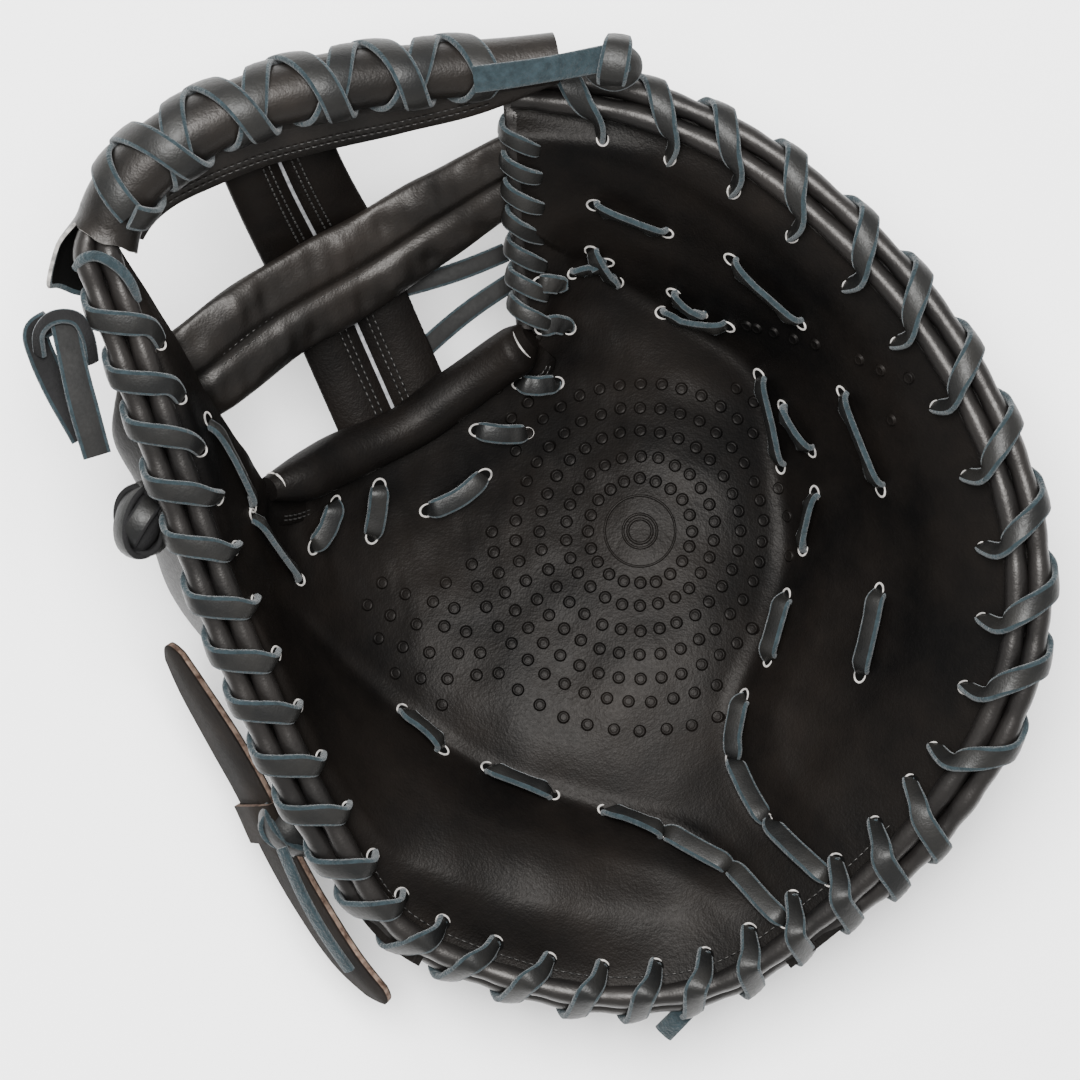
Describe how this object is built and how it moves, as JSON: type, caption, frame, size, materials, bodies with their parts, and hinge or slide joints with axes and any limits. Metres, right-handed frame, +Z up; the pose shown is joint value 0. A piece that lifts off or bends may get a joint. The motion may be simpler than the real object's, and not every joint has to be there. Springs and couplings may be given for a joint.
{
  "type": "first baseman mitt",
  "caption": "Black leather first base mitt for the left hand, lying on its back with its deep pocket up, with a laced rim, a barred web and a wrist strap.",
  "frame": {"origin": "under the middle of the mitt's bounding box, on the surface it lies on", "axes": "+Z up out of the pocket, +X to the finger side, +Y to the web, -Y to the heel"},
  "size_m": [0.2984, 0.3048, 0.1541],
  "materials": {
    "leather": "smooth black full-grain leather, satin",
    "rim_leather": "rolled black leather binding, satin",
    "lace": "black rawhide lace with blue-grey suede edges"
  },
  "bodies": {
    "root": {"palm": "leather", "finger_back": "leather", "thumb_back": "leather", "inner_rim_roll": "rim_leather", "outer_rim_roll": "rim_leather", "finger_rim_lace": "lace", "heel_rim_lace": "lace", "web_bar": "leather", "inner_bar_lace": "lace", "outer_bar_lace": "lace", "web_band": "leather", "crotch_band": "leather", "web_post": "leather", "wrist_strap": "leather", "pull_strap": "leather", "finger_knot": "lace", "strap_knot": "lace", "thumb_knot": "lace", "finger_lace_end": "lace", "thumb_lace_end": "lace", "web_lace_end_upper": "lace", "web_lace_end_lower": "lace", "strap_lace_end": "lace", "heel_lace_end": "lace"}
  },
  "joints": []
}
